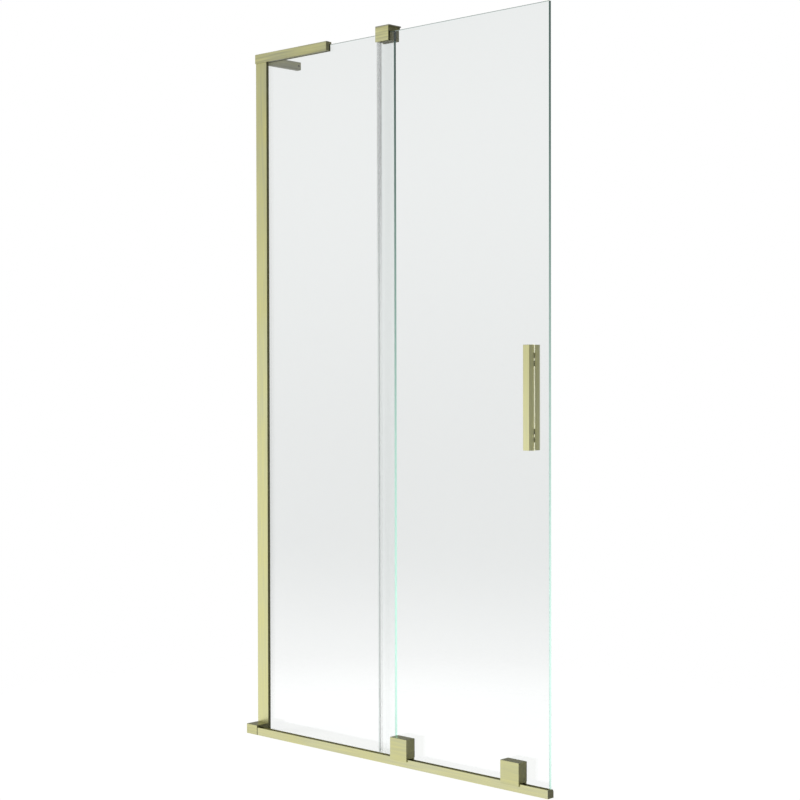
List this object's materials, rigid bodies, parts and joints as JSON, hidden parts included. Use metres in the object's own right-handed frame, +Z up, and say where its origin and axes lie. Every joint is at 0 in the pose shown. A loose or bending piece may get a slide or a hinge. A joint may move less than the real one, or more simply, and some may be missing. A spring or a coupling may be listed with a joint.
{
  "type": "sliding bath screen",
  "caption": "Frameless sliding bath screen: a fixed glass pane in a wall profile and a glass pane that rolls along a low rail on the bath rim.",
  "frame": {"origin": "on the wall plane and the bath rim, at the front face of the fixed glass", "axes": "+X from the wall along the bath rim, +Y towards the bath's inside, +Z up"},
  "size_m": [0.85, 0.1625, 1.5061],
  "materials": {
    "gold_extrusion": "brushed greenish gold, anodised",
    "gold_block": "brushed greenish gold",
    "clear_glass": "clear, polished, green edges",
    "clear_seal": "translucent, smooth",
    "grey_rubber": "matt",
    "nylon": "matt",
    "plain_steel": "satin"
  },
  "bodies": {
    "frame": {"arm_end_cap": "gold_extrusion", "arm_set_screw": "plain_steel", "arm_wall_anchor": "plain_steel", "bar_end_cap": "gold_extrusion", "bar_gasket": "grey_rubber", "channel_gaskets": "grey_rubber", "corner_bracket": "plain_steel", "corner_set_screws": "plain_steel", "fixed_glass": "clear_glass", "fixed_glass_seal": "clear_seal", "guide_body": "gold_block", "guide_cap": "gold_block", "guide_liner": "nylon", "guide_pads": "grey_rubber", "guide_screws": "plain_steel", "rail": "gold_extrusion", "rail_end_block": "gold_block", "rail_end_cap": "gold_extrusion", "rail_screws": "plain_steel", "rail_stops": "nylon", "top_bar": "gold_extrusion", "wall_arm": "gold_extrusion", "wall_channel": "gold_extrusion", "wall_cover": "gold_extrusion"},
    "sliding_pane": {"edge_seal": "clear_seal", "handle_front_bar": "gold_block", "handle_pads": "grey_rubber", "handle_rear_bar": "gold_block", "handle_screws": "plain_steel", "handle_sleeves": "nylon", "left_axle": "plain_steel", "left_carriage_body": "gold_block", "left_carriage_cover": "gold_block", "left_carriage_pads": "grey_rubber", "left_clamp_bolt": "plain_steel", "left_clamp_disc": "gold_block", "left_clamp_sleeve": "nylon", "right_axle": "plain_steel", "right_carriage_body": "gold_block", "right_carriage_cover": "gold_block", "right_carriage_pads": "grey_rubber", "right_clamp_bolt": "plain_steel", "right_clamp_disc": "gold_block", "right_clamp_sleeve": "nylon", "sliding_glass": "clear_glass", "sliding_glass_seal": "clear_seal"},
    "left_roller": {"left_roller": "nylon", "left_roller_bush": "plain_steel"},
    "right_roller": {"right_roller": "nylon", "right_roller_bush": "plain_steel"}
  },
  "joints": [
    {"name": "pane_slide", "type": "slide", "parent": "frame", "child": "sliding_pane", "axis": [-1, 0, 0], "range_m": [0, 0.3484]},
    {"name": "left_roller_spin", "type": "hinge", "parent": "sliding_pane", "child": "left_roller", "pos_m": [0.4659, 0, 0.027], "axis": [0, 1, 0], "continuous": true},
    {"name": "right_roller_spin", "type": "hinge", "parent": "sliding_pane", "child": "right_roller", "pos_m": [0.7587, 0, 0.027], "axis": [0, 1, 0], "continuous": true}
  ],
  "couplings": [
    {"joint": "left_roller_spin", "follows": "pane_slide", "rad_per_m": -78.74},
    {"joint": "right_roller_spin", "follows": "pane_slide", "rad_per_m": -78.74}
  ]
}
